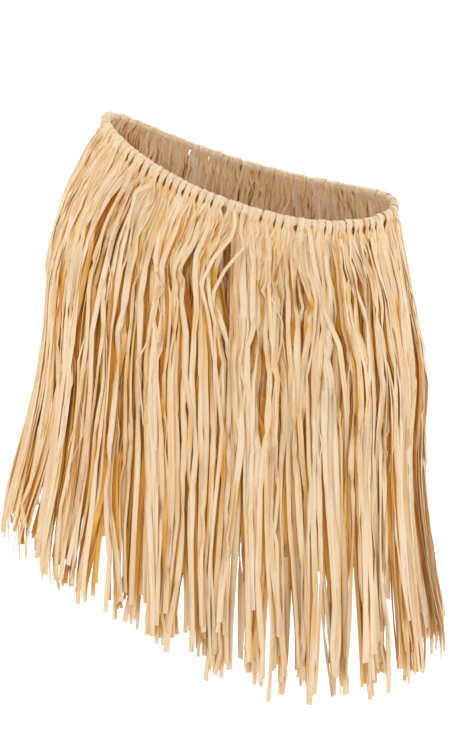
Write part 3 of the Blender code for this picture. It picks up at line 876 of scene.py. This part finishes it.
def makeWaistCord():
    # A closed tube round the band. Its radius is the cord's times one less the groove where the
    # power of a sine across each wrap is nought, with a few fine creases round each wrap.
    cut = cordWrap
    rng = np.random.default_rng(cut["seed"])
    wraps, steps = cut["wraps"], cut["steps"]
    widths = 1 + cut["uneven"] * rng.uniform(-1, 1, wraps)
    edges = np.concatenate([[0], np.cumsum(widths) / widths.sum()])
    within = np.tile(np.arange(steps) / steps, wraps)
    wrap = np.repeat(np.arange(wraps), steps)
    run = (edges[wrap] + within * (edges[wrap + 1] - edges[wrap]))[:, None]
    turn = (np.arange(cut["around"]) / cut["around"] * 2 * math.pi)[None]

    lean = np.ones_like(run)
    for swing, waves, start in cut["leanWaves"]:
        lean = lean + swing * np.sin(2 * math.pi * waves * run + start)
    lean = cut["lean"] * lean
    angle = anglesAt(run + lean / wraps * np.sin(turn - cut["leanTurn"]))
    outward, down = bandFrame(angle)[1:]
    bulge = np.sin(math.pi * within)[:, None] ** cut["roundness"]
    fat = (1 + cut["fatness"] * rng.normal(0, 1, wraps))[wrap][:, None]
    phase = rng.uniform(0, 2 * math.pi, wraps)[wrap][:, None]
    crease = cut["creases"] * np.sin(4 * math.pi * within[:, None] + phase)
    crease = crease * (cut["creaseMean"] + (1 - cut["creaseMean"]) * np.sin(2 * turn + phase))
    radius = cut["core"] * (1 - cut["groove"] * (1 - bulge)) * np.clip(fat, *cut["fatLimits"])
    radius = radius * (1 - crease)
    way = outward * np.cos(turn)[..., None] - down * np.sin(turn)[..., None]
    points = bandLine(angle) + way * radius[..., None]

    alongAt = np.broadcast_to(run * cordLength, radius.shape)
    lapAt = np.broadcast_to(turn * cut["core"], radius.shape)
    uv = np.stack([alongAt, lapAt], -1).reshape(-1, 2)
    mean, spread = cut["tone"]
    tone = np.broadcast_to((mean + spread * rng.normal(0, 1, wraps))[wrap][:, None], radius.shape)
    # painted golden shade: a little on each wrap and more in its grooves
    shadeOnWrap, shadeInGroove = cut["wrapAndGrooveShades"]
    inner = np.broadcast_to(shadeOnWrap + shadeInGroove * (1 - bulge) ** cut["grooveShadePower"], radius.shape)
    cord = meshFrom("waist_cord_wrapped", points.reshape(-1, 3), tubeFaces(*points.shape[:2], True),
                    uv, raffiaWrapping, 0, tone=tone, inner=inner)
    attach(cord, "root")
    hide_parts("waist_cord")
    return cord


waistCord = makeWaistCord()
print("waist cord:", len(waistCord.data.polygons) * 2, "triangles")


studio = {
    "floor": -0.90, "flatRings": (0.02, 1.5, 3.0), "flatRadius": 4.2,
    "sweepRadius": 2.2, "wallTop": 5.0, "around": 72, "bendSteps": 13,
    "paper": "#FAF9F7", "paperRoughness": 0.9,  # uncoated background paper, matt and nearly white
    "cameraAim": (-0.0225, 0.0, -0.1972), "cameraAway": 2.6, "cameraUp": 5.0,  # metres, degrees
    "lens": 125.6, "sensor": 36.0,
    "worldStrength": 0.652, "worldColour": "#FEFFFF", "lampColour": "#EDF4FF",
    "lamps": (  # name, place, aim, size and power
        ("key", (-1.1, -3.0, 1.2), (0, 0, -0.2), 1.2, 4.32),
        ("fill_left", (-2.8, -0.7, -0.1), (0, 0, -0.2), 2.0, 5.4),
        ("fill_right", (2.9, 0.1, -0.1), (0, 0, -0.2), 2.0, 10.3),
        ("rim_left", (-2.6, 1.8, 0.8), (0, 0, -0.2), 1.6, 10.8),
        ("rim_right", (2.6, 1.8, 0.8), (0, 0, -0.2), 1.6, 10.8),
        ("wall_back", (0, 2.2, 4.2), (0, 6.4, 0.4), 2.4, 89.0),
        ("wall_front", (0, -2.2, 4.2), (0, -6.4, 0.4), 2.4, 89.0),
        ("wall_left", (-2.2, 0, 4.2), (-6.4, 0, 0.4), 2.4, 89.0),
        ("wall_right", (2.2, 0, 4.2), (6.4, 0, 0.4), 2.4, 89.0),
    ),
}


def makeBackdrop():
    # the paper is a dish: a flat disc, a quarter circle up, then a wall, turned round the skirt
    around, flat = studio["around"], studio["flatRings"]
    bend = np.linspace(0, math.pi / 2, studio["bendSteps"])
    radius = np.concatenate([flat, studio["flatRadius"] + studio["sweepRadius"] * np.sin(bend),
                             [studio["flatRadius"] + studio["sweepRadius"]]])
    height = np.concatenate([np.zeros(len(flat)), studio["sweepRadius"] * (1 - np.cos(bend)),
                             [studio["wallTop"]]]) + studio["floor"]
    turn = np.arange(around) / around * 2 * math.pi
    level = np.broadcast_to(height[:, None], (len(radius), around))
    points = np.stack([radius[:, None] * np.cos(turn), radius[:, None] * np.sin(turn), level], -1)
    points = points.reshape(-1, 3)
    paper = bpy.data.materials.new("backdrop_paper")
    paper.use_nodes = True
    shader = paper.node_tree.nodes["Principled BSDF"]
    shader.inputs["Base Color"].default_value = linear(studio["paper"])
    shader.inputs["Roughness"].default_value = studio["paperRoughness"]
    faces = tubeFaces(len(radius), around, False)
    meshFrom("backdrop", points, faces, points[:, :2], paper, 0)
    middle = bpy.data.meshes.new("floor_middle")
    middle.from_pydata(points[:around].tolist(), [], [tuple(range(around))])
    middle.materials.append(paper)
    placed("floor_middle", middle)


def makeLight():
    # even light from all round, and round lamps that each face their aim
    world = bpy.data.worlds.new("studio_air")
    bpy.context.scene.world = world
    world.use_nodes = True
    air = world.node_tree.nodes["Background"]
    air.inputs["Color"].default_value = linear(studio["worldColour"])
    air.inputs["Strength"].default_value = studio["worldStrength"]
    for name, place, aim, size, power in studio["lamps"]:
        lamp = bpy.data.lights.new(name, "AREA")
        lamp.shape = "DISK"
        lamp.size = size
        lamp.energy = power
        lamp.color = linear(studio["lampColour"])[:3]
        held = placed(name, lamp)
        held.location = place
        x, y, z = unit(np.array(aim, float) - np.array(place))
        held.rotation_euler = (math.acos(-z), 0, math.atan2(y, x) - math.pi / 2)


def makeCamera():
    # it stands in front of its aim, raised by its angle, and looks down by the same
    lens = bpy.data.cameras.new("camera")
    lens.lens, lens.sensor_width = studio["lens"], studio["sensor"]
    camera = placed("camera", lens)
    up, away = math.radians(studio["cameraUp"]), studio["cameraAway"]
    x, y, z = studio["cameraAim"]
    camera.location = (x, y - away * math.cos(up), z + away * math.sin(up))
    camera.rotation_euler = (math.pi / 2 - up, 0, 0)
    bpy.context.scene.camera = camera
    bpy.context.scene.view_settings.view_transform = "Standard"


makeBackdrop()
makeLight()
makeCamera()
print("studio ready")
